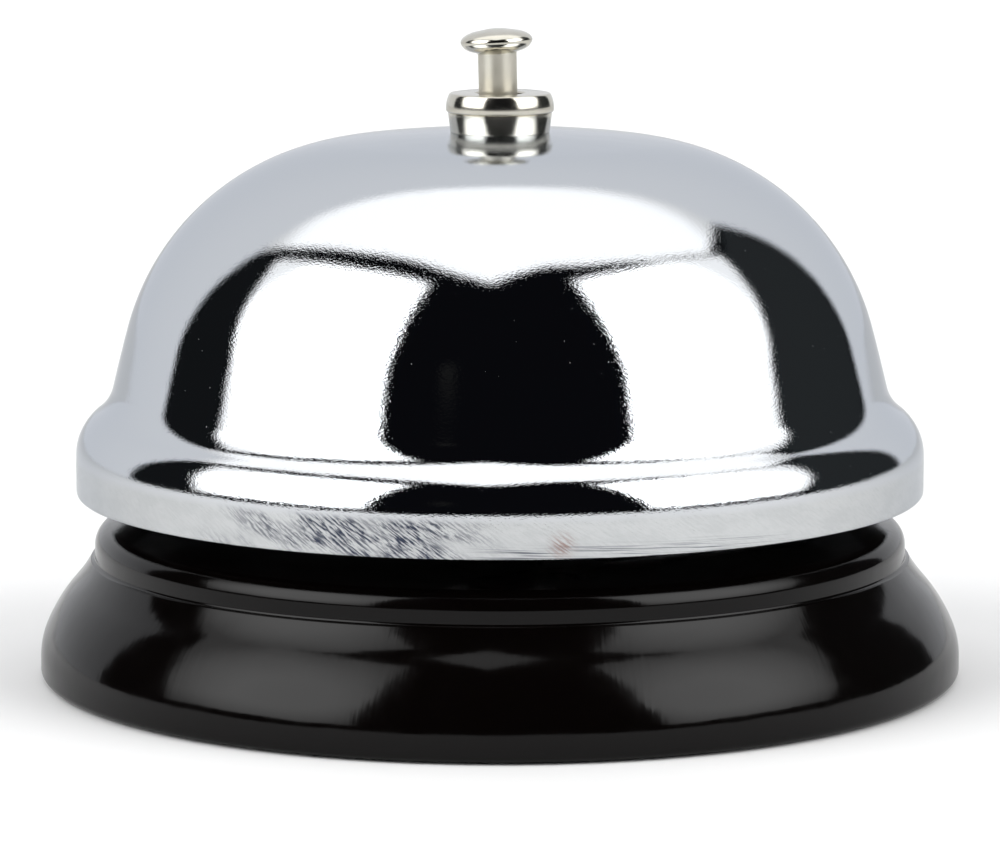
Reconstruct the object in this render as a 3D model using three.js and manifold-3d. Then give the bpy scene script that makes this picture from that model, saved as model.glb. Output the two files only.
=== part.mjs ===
// A desk call bell: a polished steel dome over a black enamelled base. Pressing the nickel button pushes
// a rod down the hollow centre post and onto the tail of a rocking lever, which throws a small hammer
// against the inside of the dome. Millimetres, +Z up, origin on the table under the middle of the bell.

import * as THREE from 'three';
import { mergeVertices } from 'three/addons/utils/BufferGeometryUtils.js';
import Module from 'manifold-3d';

const wasm = await Module();
wasm.setup();

// ---------------------------------------------------------------- driving dimensions

const BASE_RADIUS = 42.5;
const TOTAL_HEIGHT = 59.6;
const SHEET = 0.9; // thickness of the dome and of the base
const SHELL_SEGMENTS = 40; // facets around the dome and the base
const SMALL_SEGMENTS = 24; // facets around turned parts
const TINY_SEGMENTS = 16; // facets around pins, rivets and holes
const TOUCH = 0.05; // gap between faces that rest on each other
const FIT = 0.25; // radial gap between a pin or a screw and its hole
const LOOSE = 0.15; // gap on each side of a part that turns, slides or snaps on another
const EDGE = 0.3; // chamfer on the outer edges of turned and stamped parts

// The dome, from the apex down. A heading is the slope of the outline below the horizontal, in degrees.
const DOME_TOP = 50.2;
const CROWN_RADIUS = 123.2;
const CROWN_HEADING = 6.7;
const SHOULDER_RADIUS = 23.4;
const SHOULDER_HEADING = 75;
const SIDE_RADIUS = 212;
const SIDE_HEADING = 76.5;
const WAIST_RADIUS = 4.41;
const WAIST_HEADING = 37.3;
const BEAD_RADIUS = 4.66;
const RIM_BOTTOM = 17.06;

// The base, from the flat deck under the dome down to the table.
const DECK_TOP = 15.4;
const DECK_RADIUS = 26.75; // the flat part of the deck
const DECK_FALL_RADIUS = 33.7;
const DECK_FALL_HEADING = 16;
const NECK_ROUND = 1.9;
const NECK_SPREAD = 0.15; // how much wider the neck is at its foot than at its top
const CREASE_HEIGHT = 10.95;
const FLARE_START_HEADING = 61.4;
const FLARE_HOLLOW_RADIUS = 12.4;
const FLARE_MIDDLE_HEADING = 48.3;
const FLARE_BULGE_RADIUS = 14.3;
const FLARE_FOOT_HEADING = 66.9;
const FLARE_FOOT_RADIUS = 7.16;
const SKIRT_CLEARANCE = 0.2; // the skirt's edge stands this high above the table
const HEM_WIDTH = 1.8;
const HEM_ROUND = 0.4;
const FLANGE_BOTTOM = 1.7;
const FLANGE_INNER_RADIUS = 35.4;

const FOOT_COUNT = 4;
const FOOT_CIRCLE = 38.05;
const FOOT_RADIUS = 2.3;
const FOOT_NECK_RADIUS = 1.2;
const FOOT_BARB_RADIUS = 1.9;
const FOOT_TOP = 3.9;

// The centre post, its fasteners and the collar that clamps the dome.
const POST_BOTTOM = 7;
const POST_TOP = 53;
const THREAD_RADIUS = 3;
const POST_RADIUS = 4.2;
const POST_BORE = 2.1;
const POST_FLANGE_RADIUS = 5.8;
const POST_FLANGE_THICKNESS = 1.5;
const POST_SHOULDER = 46.6;
const LEDGE_TOP = 37.4; // the return spring stands on this ledge in the bore
const LEDGE_THICKNESS = 1.4;
const LEDGE_BORE = 1.3;
const SLOT_SIDE_GAP = 0.4; // between the lever and each side of the post's slot
const SLOT_END_GAP = 1.2; // between the swinging tail and each end of the slot
const WASHER_THICKNESS = 1.1;
const BASE_WASHER_RADIUS = 6.5;
const LOCK_WASHER_RADIUS = 5;
const LOCK_WASHER_GAP = 0.7;
const NUT_ACROSS_FLATS = 10;
const NUT_HEIGHT = 4;
const SEAT_WASHER_RADIUS = 7;
const CUSHION_RADIUS = 7.5;
const COLLAR_BOTTOM_RADIUS = 4.58;
const COLLAR_NECK_RADIUS = 4.75; // just under the groove
const COLLAR_GROOVE_RADIUS = 4.65;
const COLLAR_GROOVE_HEIGHT = 51.9;
const COLLAR_FLANGE_RADIUS = 4.95;
const COLLAR_FLANGE_HEIGHT = 52.7; // where the flange is widest
const COLLAR_TOP = 53.7;
const COLLAR_BORE = 2.2; // round the button's stem

// The button and the rod under it.
const TRAVEL = 3.4;
const CAP_RADIUS = 3.3;
const CAP_EDGE_HEIGHT = 58.4;
const STEM_RADIUS = 1.73;
const STEM_SHOULDER = 57.3;
const STEM_FLARE = 0.2; // how much the stem widens where it meets the cap
const STEM_BOTTOM = 46.5;
const CAP_ROUND = 0.35;
const CAP_DOME_HEIGHT = 0.4; // of the cap's domed face above its rounded edge
const ROD_RADIUS = 1;
const ROD_TOP = 50.3;
const SOCKET_TOP = 50.5;
const CLIP_THICKNESS = 0.6;
const CLIP_GAP = 0.9;
const CLIP_GROOVE_RADIUS = 0.75;
const CLIP_GROOVE_DROP = 0.8; // from the underside of the ledge to the bottom of the rod's groove
const ROD_CLIP_RADIUS = 1.85;
const SPRING_RADIUS = 1.55;
const SPRING_WIRE_RADIUS = 0.2;
const SPRING_TURNS = 8;

// The striker: a lever that rocks on a pin, with its tail under the rod and the hammer at its far end.
const SWING = 28; // degrees that the lever turns over the button's whole travel
const TAIL_THICKNESS = 1.4;
const LEVER_WIDTH = 2;
const LEVER_HUB_RADIUS = 2.3;
const TAIL_REACH = 1.2; // how far the tail runs past the axis of the rod
const PIVOT_HEIGHT = 31.9;
const ARM_DROP = 32.4; // degrees below the horizontal at rest
const ARM_LENGTH = 23.14;
const ARM_HUB_WIDTH = 3.4;
const ARM_END_WIDTH = 2.4;
const ARM_EYE_RADIUS = 2;
const HAMMER_RADIUS = 3.3;
const HAMMER_SLOT_WIDTH = 2.6;
const HAMMER_RIVET_RADIUS = 0.8;
const PIN_RADIUS = 1;
const PIN_HEAD_RADIUS = 1.8;
const PIN_HEAD_THICKNESS = 1.2;
const PIN_CLIP_RADIUS = 2;
const PIN_END = 0.7; // the pin runs this far past the clip's groove
const SPACER_RADIUS = 2.1;

// The stamped bracket that carries the pin.
const BRACKET_THICKNESS = 1.2;
const BRACKET_REAR = -11.4;
const BRACKET_FRONT = 12.4;
const BRACKET_HALF_WIDTH = 5.3;
const CHEEK_REAR = 4.3;
const CHEEK_FRONT = 11.6;
const CHEEK_TOP_RADIUS = 2.4;
const RIVET_RADIUS = 1.2;
const RIVET_HEAD_RADIUS = 2;
const RIVET_HEAD_THICKNESS = 0.9;
const RIVET_PLACES = [-8.7, 9.3];

// ---------------------------------------------------------------- worked out from those

const radians = THREE.MathUtils.degToRad;
const DECK_BOTTOM = DECK_TOP - SHEET;
const BRACKET_BOTTOM = DECK_TOP + TOUCH;
const BRACKET_TOP = BRACKET_BOTTOM + BRACKET_THICKNESS;
const POST_FLANGE_BOTTOM = BRACKET_TOP + TOUCH;
const SCREW_HOLE = THREAD_RADIUS + FIT;
const TAIL_ARM = TRAVEL / (2 * Math.tan(radians(SWING / 2)));
const PIVOT = new THREE.Vector3(TAIL_ARM, 0, PIVOT_HEIGHT);
const TAIL_RISE = radians(SWING / 2); // the tail slopes up to the rod by half the swing at rest
const CHEEK_INNER = BRACKET_HALF_WIDTH - BRACKET_THICKNESS;
const PIN_HOLE = PIN_RADIUS + FIT;
const PIN_HEAD_FACE = BRACKET_HALF_WIDTH + LOOSE;
const ROD_GROOVE_BOTTOM = LEDGE_TOP - LEDGE_THICKNESS - CLIP_GROOVE_DROP;
const GROOVE_WIDTH = CLIP_THICKNESS + 2 * TOUCH;
const TAIL_TOP = TAIL_ARM * Math.tan(TAIL_RISE) + TAIL_THICKNESS / 2 / Math.cos(TAIL_RISE); // at the rod
const ROD_BOTTOM = PIVOT_HEIGHT + TAIL_TOP + ROD_RADIUS / Math.cos(TAIL_RISE) - ROD_RADIUS + 2 * TOUCH;

// ---------------------------------------------------------------- materials

function material(color, roughness, metalness) {
  return new THREE.MeshStandardMaterial({ color, roughness, metalness });
}

const chrome = material(0xd9dde2, 0.08, 1);
const enamel = material(0x17120f, 0.12, 0);
const nickel = material(0xd6cfbb, 0.18, 1);
const zincSteel = material(0xb4b7b8, 0.35, 1);
const springSteel = material(0x8f9496, 0.3, 1);
const brass = material(0xc4a052, 0.3, 1);
const blackRubber = material(0x1d1d1d, 0.8, 0);
const redFibre = material(0x8c3a26, 0.7, 0);
const whiteNylon = material(0xe6e3d8, 0.5, 0);

// ---------------------------------------------------------------- outlines and solids

const point = (r, z) => new THREE.Vector2(r, z);

// Follows an outline downhill from a start point as a chain of arcs. Each arc is [radius, end heading,
// steps]; it bulges outward when the heading grows and is hollow when the heading falls.
function traceArcs(start, startHeading, arcs) {
  const outline = [{ r: start.x, z: start.y, heading: radians(startHeading) }];
  for (const [radius, endHeading, steps] of arcs) {
    const from = outline[outline.length - 1];
    const side = radians(endHeading) > from.heading ? 1 : -1;
    const centreR = from.r - side * radius * Math.sin(from.heading);
    const centreZ = from.z - side * radius * Math.cos(from.heading);
    for (let step = 1; step <= steps; step++) {
      const heading = THREE.MathUtils.lerp(from.heading, radians(endHeading), step / steps);
      const r = centreR + side * radius * Math.sin(heading);
      const z = centreZ + side * radius * Math.cos(heading);
      outline.push({ r, z, heading });
    }
  }
  return outline;
}

const outerSide = (outline) => outline.map(({ r, z }) => point(r, z));

// The same outline, one sheet thickness further in.
function innerSide(outline) {
  return outline.map(({ r, z, heading }) =>
    point(r - SHEET * Math.sin(heading), z - SHEET * Math.cos(heading)));
}

function lathe(points, segments = SMALL_SEGMENTS) {
  const geometry = new THREE.LatheGeometry(points, segments);
  geometry.rotateX(Math.PI / 2);
  return geometry;
}

// Turns a closed outline of a hollow part, which doesn't reach the axis.
function turnedRing(points, segments = SMALL_SEGMENTS) {
  return lathe([...points, points[0]], segments);
}

function ring(innerRadius, outerRadius, bottom, top, segments = SMALL_SEGMENTS) {
  const section = [
    point(innerRadius, bottom),
    point(outerRadius, bottom),
    point(outerRadius, top),
    point(innerRadius, top),
  ];
  return turnedRing(section, segments);
}

// A round bar along Z.
function bar(radius, bottom, top, segments = TINY_SEGMENTS) {
  return lathe([point(0, bottom), point(radius, bottom), point(radius, top), point(0, top)], segments);
}

// A flat plate: the shape lies in XY and is as thick as height.
function plate(shape, bottom, height, curveSegments = TINY_SEGMENTS / 2) {
  const geometry = new THREE.ExtrudeGeometry(shape, { depth: height, bevelEnabled: false, curveSegments });
  geometry.translate(0, 0, bottom);
  return geometry;
}

// An upright plate: the shape lies in XZ and its thickness runs along Y, around middleY.
function uprightPlate(shape, middleY, thickness, curveSegments = TINY_SEGMENTS / 2) {
  const geometry = plate(shape, -thickness / 2, thickness, curveSegments);
  geometry.rotateX(Math.PI / 2);
  geometry.translate(0, middleY, 0);
  return geometry;
}

// A round bar along Y through a point of the XZ plane.
function crossBar(radius, centre, fromY, toY, segments = TINY_SEGMENTS) {
  const geometry = bar(radius, fromY, toY, segments);
  geometry.rotateX(-Math.PI / 2);
  geometry.translate(centre.x, 0, centre.z);
  return geometry;
}

function circleShape(radius, x = 0, y = 0) {
  const shape = new THREE.Shape();
  shape.absarc(x, y, radius, 0, 2 * Math.PI, false);
  return shape;
}

// A C-shaped washer or retaining clip, open along +X.
function openRing(innerRadius, outerRadius, gap, bottom, height) {
  const outerAngle = Math.asin(gap / 2 / outerRadius);
  const innerAngle = Math.asin(gap / 2 / innerRadius);
  const shape = new THREE.Shape();
  shape.absarc(0, 0, outerRadius, outerAngle, 2 * Math.PI - outerAngle, false);
  shape.absarc(0, 0, innerRadius, 2 * Math.PI - innerAngle, innerAngle, true);
  return plate(shape, bottom, height, TINY_SEGMENTS - 2);
}

function toSolid(geometry) {
  const bare = geometry.clone();
  bare.deleteAttribute('normal');
  bare.deleteAttribute('uv');
  const merged = mergeVertices(bare, 1e-4);
  const mesh = new wasm.Mesh({
    numProp: 3,
    vertProperties: new Float32Array(merged.attributes.position.array),
    triVerts: new Uint32Array(merged.index.array),
  });
  return new wasm.Manifold(mesh);
}

function toGeometry(solid) {
  const mesh = solid.getMesh();
  const geometry = new THREE.BufferGeometry();
  geometry.setAttribute('position', new THREE.BufferAttribute(mesh.vertProperties, 3));
  geometry.setIndex(new THREE.BufferAttribute(mesh.triVerts, 1));
  geometry.computeVertexNormals();
  return geometry;
}

const join = (...geometries) =>
  toGeometry(geometries.map(toSolid).reduce((whole, piece) => whole.add(piece)));

const cut = (geometry, ...tools) =>
  toGeometry(tools.map(toSolid).reduce((rest, tool) => rest.subtract(tool), toSolid(geometry)));

// ---------------------------------------------------------------- the dome

function domeGeometry() {
  const hole = SCREW_HOLE + LOOSE;
  const startHeading = THREE.MathUtils.radToDeg(Math.asin(hole / CROWN_RADIUS));
  const startDrop = CROWN_RADIUS - Math.sqrt(CROWN_RADIUS ** 2 - hole ** 2);
  const outline = traceArcs(point(hole, DOME_TOP - startDrop), startHeading, [
    [CROWN_RADIUS, CROWN_HEADING, 2],
    [SHOULDER_RADIUS, SHOULDER_HEADING, 8],
    [SIDE_RADIUS, SIDE_HEADING, 1],
    [WAIST_RADIUS, WAIST_HEADING, 2],
    [BEAD_RADIUS, 90, 3],
  ]);
  const rimRadius = outline[outline.length - 1].r;
  const rim = [
    point(rimRadius, RIM_BOTTOM + EDGE),
    point(rimRadius - EDGE, RIM_BOTTOM),
    point(rimRadius - SHEET, RIM_BOTTOM),
  ];
  const section = [...innerSide(outline), ...rim.reverse(), ...outerSide(outline).reverse()];
  return turnedRing(section, SHELL_SEGMENTS);
}

// ---------------------------------------------------------------- the base and its feet

function baseGeometry() {
  const deck = { r: SCREW_HOLE, z: DECK_TOP, heading: 0 };
  const shoulder = traceArcs(point(DECK_RADIUS, DECK_TOP), 0, [
    [DECK_FALL_RADIUS, DECK_FALL_HEADING, 2],
    [NECK_ROUND, 90, 3],
  ]);
  const neckRadius = shoulder[shoulder.length - 1].r;
  const neckFoot = { r: neckRadius + NECK_SPREAD, z: CREASE_HEIGHT, heading: Math.PI / 2 };
  const flare = traceArcs(point(0, CREASE_HEIGHT), FLARE_START_HEADING, [
    [FLARE_HOLLOW_RADIUS, FLARE_MIDDLE_HEADING, 2],
    [FLARE_BULGE_RADIUS, FLARE_FOOT_HEADING, 3],
    [FLARE_FOOT_RADIUS, 90, 2],
  ]);
  const flareReach = flare[flare.length - 1].r;
  for (const place of flare) place.r += BASE_RADIUS - flareReach; // so that it ends on the skirt
  const outline = [deck, ...shoulder, neckFoot, ...flare];
  const inside = [deck, ...shoulder, ...flare.slice(1)];
  const hemInner = BASE_RADIUS - HEM_WIDTH;
  const hem = [
    point(BASE_RADIUS, SKIRT_CLEARANCE + HEM_ROUND),
    point(BASE_RADIUS - HEM_ROUND, SKIRT_CLEARANCE),
    point(hemInner + EDGE, SKIRT_CLEARANCE),
    point(hemInner, SKIRT_CLEARANCE + EDGE),
    point(hemInner, FLANGE_BOTTOM),
    point(FLANGE_INNER_RADIUS, FLANGE_BOTTOM),
    point(FLANGE_INNER_RADIUS, FLANGE_BOTTOM + SHEET),
    point(BASE_RADIUS - SHEET, FLANGE_BOTTOM + SHEET),
  ];
  const wall = innerSide(inside).filter(({ x, y }) => y > FLANGE_BOTTOM + SHEET || x < FLANGE_INNER_RADIUS);
  const shell = turnedRing([...wall, ...hem.reverse(), ...outerSide(outline).reverse()], SHELL_SEGMENTS);
  const rivetHoles = RIVET_PLACES.map((x) => {
    const hole = bar(RIVET_RADIUS + FIT, DECK_BOTTOM - 1, DECK_TOP + 1);
    hole.translate(x, 0, 0);
    return hole;
  });
  const footHoles = footPlaces().map(({ x, y }) => {
    const hole = bar(FOOT_NECK_RADIUS + FIT, FLANGE_BOTTOM - 1, FLANGE_BOTTOM + SHEET + 1);
    hole.translate(x, y, 0);
    return hole;
  });
  return cut(shell, ...rivetHoles, ...footHoles);
}

function footPlaces() {
  const places = [];
  for (let index = 0; index < FOOT_COUNT; index++) {
    const angle = ((index + 0.5) / FOOT_COUNT) * 2 * Math.PI;
    places.push(point(FOOT_CIRCLE * Math.cos(angle), FOOT_CIRCLE * Math.sin(angle)));
  }
  return places;
}

function footGeometry() {
  const flangeTop = FLANGE_BOTTOM + SHEET;
  const section = [
    point(0, 0),
    point(FOOT_RADIUS - EDGE, 0),
    point(FOOT_RADIUS, EDGE),
    point(FOOT_RADIUS, FLANGE_BOTTOM - TOUCH),
    point(FOOT_NECK_RADIUS, FLANGE_BOTTOM - TOUCH),
    point(FOOT_NECK_RADIUS, flangeTop + TOUCH),
    point(FOOT_BARB_RADIUS, flangeTop + TOUCH),
    point(FOOT_NECK_RADIUS / 2, FOOT_TOP),
    point(0, FOOT_TOP),
  ];
  return lathe(section, TINY_SEGMENTS);
}

// ---------------------------------------------------------------- the post and what is screwed to it

function postGeometry() {
  const flangeTop = POST_FLANGE_BOTTOM + POST_FLANGE_THICKNESS;
  const ledgeBottom = LEDGE_TOP - LEDGE_THICKNESS;
  const post = turnedRing([
    point(POST_BORE, POST_BOTTOM),
    point(THREAD_RADIUS - EDGE, POST_BOTTOM),
    point(THREAD_RADIUS, POST_BOTTOM + EDGE),
    point(THREAD_RADIUS, POST_FLANGE_BOTTOM),
    point(POST_FLANGE_RADIUS, POST_FLANGE_BOTTOM),
    point(POST_FLANGE_RADIUS, flangeTop),
    point(POST_RADIUS, flangeTop),
    point(POST_RADIUS, POST_SHOULDER),
    point(THREAD_RADIUS, POST_SHOULDER),
    point(THREAD_RADIUS, POST_TOP - EDGE),
    point(THREAD_RADIUS - EDGE, POST_TOP),
    point(POST_BORE, POST_TOP),
    point(POST_BORE, LEDGE_TOP),
    point(LEDGE_BORE, LEDGE_TOP),
    point(LEDGE_BORE, ledgeBottom),
    point(POST_BORE, ledgeBottom),
  ]);
  const slotHeight = 2 * (POST_BORE * Math.tan(TAIL_RISE) + SLOT_END_GAP) + TAIL_THICKNESS;
  const slotWidth = LEVER_WIDTH + 2 * SLOT_SIDE_GAP;
  const slotDepth = 2 * POST_RADIUS; // from the axis to well outside the wall
  const slot = new THREE.BoxGeometry(slotDepth, slotWidth, slotHeight);
  slot.translate(slotDepth / 2, 0, PIVOT_HEIGHT);
  return cut(post, slot);
}

function nutGeometry(top) {
  const cornerRadius = NUT_ACROSS_FLATS / Math.sqrt(3);
  const flatRadius = NUT_ACROSS_FLATS / 2;
  const hexagon = new THREE.Shape();
  for (let corner = 0; corner < 6; corner++) {
    const angle = (corner * Math.PI) / 3;
    const [x, y] = [cornerRadius * Math.cos(angle), cornerRadius * Math.sin(angle)];
    if (corner === 0) hexagon.moveTo(x, y);
    else hexagon.lineTo(x, y);
  }
  hexagon.closePath();
  hexagon.holes.push(circleShape(SCREW_HOLE));
  const bottom = top - NUT_HEIGHT;
  const prism = toSolid(plate(hexagon, bottom, NUT_HEIGHT, SMALL_SEGMENTS / 2));
  const chamfer = (cornerRadius - flatRadius) * Math.tan(radians(30));
  const turned = toSolid(lathe([
    point(0, bottom),
    point(flatRadius, bottom),
    point(cornerRadius, bottom + chamfer),
    point(cornerRadius, top - chamfer),
    point(flatRadius, top),
    point(0, top),
  ]));
  return toGeometry(prism.intersect(turned));
}

function collarGeometry() {
  const bottom = DOME_TOP + TOUCH;
  const bevel = COLLAR_NECK_RADIUS - COLLAR_GROOVE_RADIUS;
  return turnedRing([
    point(COLLAR_BOTTOM_RADIUS, bottom),
    point(COLLAR_NECK_RADIUS, COLLAR_GROOVE_HEIGHT - bevel),
    point(COLLAR_GROOVE_RADIUS, COLLAR_GROOVE_HEIGHT),
    point(COLLAR_FLANGE_RADIUS - bevel, COLLAR_GROOVE_HEIGHT + bevel),
    point(COLLAR_FLANGE_RADIUS, COLLAR_FLANGE_HEIGHT),
    point(COLLAR_FLANGE_RADIUS - bevel / 2, COLLAR_TOP - EDGE),
    point(COLLAR_FLANGE_RADIUS - EDGE, COLLAR_TOP),
    point(COLLAR_BORE, COLLAR_TOP),
    point(COLLAR_BORE, POST_TOP + LOOSE),
    point(SCREW_HOLE, POST_TOP + LOOSE),
    point(SCREW_HOLE, bottom),
  ]);
}

// ---------------------------------------------------------------- the plunger

function buttonGeometry() {
  const socket = ROD_RADIUS + LOOSE;
  const faceEdge = TOTAL_HEIGHT - CAP_DOME_HEIGHT;
  return lathe([
    point(0, SOCKET_TOP),
    point(socket, SOCKET_TOP),
    point(socket, STEM_BOTTOM),
    point(STEM_RADIUS, STEM_BOTTOM),
    point(STEM_RADIUS, STEM_SHOULDER - EDGE),
    point(STEM_RADIUS + STEM_FLARE, STEM_SHOULDER),
    point(CAP_RADIUS - CAP_ROUND, CAP_EDGE_HEIGHT - CAP_ROUND),
    point(CAP_RADIUS, CAP_EDGE_HEIGHT),
    point(CAP_RADIUS - CAP_ROUND / 2, faceEdge - CAP_ROUND),
    point(CAP_RADIUS - 2 * CAP_ROUND, faceEdge),
    point(CAP_RADIUS / 2, TOTAL_HEIGHT - CAP_DOME_HEIGHT / 4),
    point(0, TOTAL_HEIGHT),
  ]);
}

function rodGeometry() {
  const grooveTop = ROD_GROOVE_BOTTOM + GROOVE_WIDTH;
  const tip = [];
  for (let step = 0; step <= 4; step++) {
    const angle = (step / 4) * (Math.PI / 2);
    tip.push(point(ROD_RADIUS * Math.sin(angle), ROD_BOTTOM + ROD_RADIUS * (1 - Math.cos(angle))));
  }
  tip[0].x = 0;
  const section = [
    ...tip.filter(({ y }) => y < ROD_GROOVE_BOTTOM - 2 * TOUCH),
    point(ROD_RADIUS, ROD_GROOVE_BOTTOM - 2 * TOUCH),
    point(CLIP_GROOVE_RADIUS, ROD_GROOVE_BOTTOM),
    point(CLIP_GROOVE_RADIUS, grooveTop),
    point(ROD_RADIUS, grooveTop),
    point(ROD_RADIUS, ROD_TOP),
    point(0, ROD_TOP),
  ];
  return lathe(section, TINY_SEGMENTS);
}

class Helix extends THREE.Curve {
  constructor(radius, bottom, top, turns) {
    super();
    Object.assign(this, { radius, bottom, top, turns });
  }

  getPoint(t, target = new THREE.Vector3()) {
    const angle = t * this.turns * 2 * Math.PI;
    const z = THREE.MathUtils.lerp(this.bottom, this.top, t);
    return target.set(this.radius * Math.cos(angle), this.radius * Math.sin(angle), z);
  }
}

function springGeometry() {
  const clearance = SPRING_WIRE_RADIUS + 2 * TOUCH;
  const path = new Helix(SPRING_RADIUS, LEDGE_TOP + clearance, STEM_BOTTOM - clearance, SPRING_TURNS);
  const wire = circleShape(SPRING_WIRE_RADIUS);
  return new THREE.ExtrudeGeometry(wire, { steps: SPRING_TURNS * 11, curveSegments: 3, extrudePath: path });
}

// ---------------------------------------------------------------- the striker

// A straight bar in the XZ plane that tapers between two points and is rounded at neither end.
function taperedBar(from, to, fromWidth, toWidth) {
  const along = new THREE.Vector2(to.x - from.x, to.y - from.y).normalize();
  const across = point(-along.y, along.x);
  const corner = (end, width, side) => end.clone().addScaledVector(across, (side * width) / 2);
  return new THREE.Shape([
    corner(from, fromWidth, -1),
    corner(to, toWidth, -1),
    corner(to, toWidth, 1),
    corner(from, fromWidth, 1),
  ]);
}

const pivotPoint = point(PIVOT.x, PIVOT.z);
const armDirection = point(Math.cos(radians(ARM_DROP)), -Math.sin(radians(ARM_DROP)));
const tailDirection = point(-Math.cos(TAIL_RISE), Math.sin(TAIL_RISE));
const hammerPoint = pivotPoint.clone().addScaledVector(armDirection, ARM_LENGTH);
const HAMMER = new THREE.Vector3(hammerPoint.x, 0, hammerPoint.y);

function leverGeometry() {
  const tailLength = (TAIL_ARM + TAIL_REACH) / Math.cos(TAIL_RISE);
  const tailEnd = pivotPoint.clone().addScaledVector(tailDirection, tailLength);
  const tail = taperedBar(pivotPoint, tailEnd, TAIL_THICKNESS, TAIL_THICKNESS);
  const arm = taperedBar(pivotPoint, hammerPoint, ARM_HUB_WIDTH, ARM_END_WIDTH);
  const hub = circleShape(LEVER_HUB_RADIUS, pivotPoint.x, pivotPoint.y);
  const eye = circleShape(ARM_EYE_RADIUS, hammerPoint.x, hammerPoint.y);
  const body = join(...[tail, arm, hub, eye].map((shape) => uprightPlate(shape, 0, LEVER_WIDTH)));
  const pinHole = crossBar(PIN_HOLE, PIVOT, -LEVER_WIDTH, LEVER_WIDTH);
  const rivetHole = crossBar(HAMMER_RIVET_RADIUS + LOOSE, HAMMER, -LEVER_WIDTH, LEVER_WIDTH);
  return cut(body, pinHole, rivetHole);
}

function hammerGeometry() {
  const ball = new THREE.SphereGeometry(HAMMER_RADIUS, SMALL_SEGMENTS, SMALL_SEGMENTS / 2);
  const slotEnd = ARM_EYE_RADIUS + 2 * LOOSE;
  const slot = new THREE.BoxGeometry(3 * HAMMER_RADIUS, HAMMER_SLOT_WIDTH, 3 * HAMMER_RADIUS);
  slot.translate(slotEnd - 1.5 * HAMMER_RADIUS, 0, 0);
  const ballCentre = new THREE.Vector3();
  const rivetHole = crossBar(HAMMER_RIVET_RADIUS + LOOSE, ballCentre, -2 * HAMMER_RADIUS, 2 * HAMMER_RADIUS);
  const head = cut(ball, slot, rivetHole);
  head.rotateY(radians(ARM_DROP));
  return head;
}

function pinGeometry() {
  const grooveNear = -BRACKET_HALF_WIDTH - LOOSE;
  const grooveFar = grooveNear - GROOVE_WIDTH;
  const section = [
    point(0, grooveFar - PIN_END),
    point(PIN_RADIUS, grooveFar - PIN_END),
    point(PIN_RADIUS, grooveFar),
    point(CLIP_GROOVE_RADIUS, grooveFar),
    point(CLIP_GROOVE_RADIUS, grooveNear),
    point(PIN_RADIUS, grooveNear),
    point(PIN_RADIUS, PIN_HEAD_FACE),
    point(PIN_HEAD_RADIUS, PIN_HEAD_FACE),
    point(PIN_HEAD_RADIUS, PIN_HEAD_FACE + PIN_HEAD_THICKNESS / 2),
    point(PIN_RADIUS, PIN_HEAD_FACE + PIN_HEAD_THICKNESS),
    point(0, PIN_HEAD_FACE + PIN_HEAD_THICKNESS),
  ];
  return lathe(section, TINY_SEGMENTS);
}

function bracketGeometry() {
  const outline = new THREE.Shape();
  outline.moveTo(CHEEK_REAR, -BRACKET_HALF_WIDTH);
  outline.lineTo(BRACKET_FRONT, -BRACKET_HALF_WIDTH);
  outline.lineTo(BRACKET_FRONT, BRACKET_HALF_WIDTH);
  const rearCentre = BRACKET_REAR + BRACKET_HALF_WIDTH;
  outline.lineTo(rearCentre, BRACKET_HALF_WIDTH);
  outline.absarc(rearCentre, 0, BRACKET_HALF_WIDTH, Math.PI / 2, (3 * Math.PI) / 2, false);
  outline.closePath();
  outline.holes.push(circleShape(SCREW_HOLE));
  for (const x of RIVET_PLACES) outline.holes.push(circleShape(RIVET_RADIUS + FIT, x));
  const floor = plate(outline, BRACKET_BOTTOM, BRACKET_THICKNESS, SMALL_SEGMENTS / 2);

  const cheek = new THREE.Shape();
  cheek.moveTo(CHEEK_REAR, BRACKET_BOTTOM);
  cheek.lineTo(CHEEK_FRONT, BRACKET_BOTTOM);
  cheek.lineTo(PIVOT.x + CHEEK_TOP_RADIUS, PIVOT.z);
  cheek.absarc(PIVOT.x, PIVOT.z, CHEEK_TOP_RADIUS, 0, Math.PI, false);
  cheek.closePath();
  cheek.holes.push(circleShape(PIN_HOLE, PIVOT.x, PIVOT.z));
  const middle = (CHEEK_INNER + BRACKET_HALF_WIDTH) / 2;
  return join(
    floor,
    uprightPlate(cheek, middle, BRACKET_THICKNESS),
    uprightPlate(cheek, -middle, BRACKET_THICKNESS),
  );
}

function bracketRivetGeometry() {
  const headFace = BRACKET_TOP + TOUCH;
  const tailFace = DECK_BOTTOM - TOUCH;
  const section = [
    point(0, tailFace - RIVET_HEAD_THICKNESS),
    point(RIVET_HEAD_RADIUS / 2, tailFace - RIVET_HEAD_THICKNESS),
    point(RIVET_HEAD_RADIUS, tailFace),
    point(RIVET_RADIUS, tailFace),
    point(RIVET_RADIUS, headFace),
    point(RIVET_HEAD_RADIUS, headFace),
    point(RIVET_HEAD_RADIUS / 2, headFace + RIVET_HEAD_THICKNESS),
    point(0, headFace + RIVET_HEAD_THICKNESS),
  ];
  return lathe(section, TINY_SEGMENTS);
}

// ---------------------------------------------------------------- the assembly

const group = new THREE.Group();

function addPart(name, geometry, finish, parent = group) {
  const mesh = new THREE.Mesh(geometry, finish);
  mesh.name = name;
  parent.add(mesh);
  return mesh;
}

// Standing parts.
addPart('base_shell', baseGeometry(), enamel);
footPlaces().forEach(({ x, y }, index) => {
  addPart(`rubber_foot_${index + 1}`, footGeometry(), blackRubber).position.set(x, y, 0);
});

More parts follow.
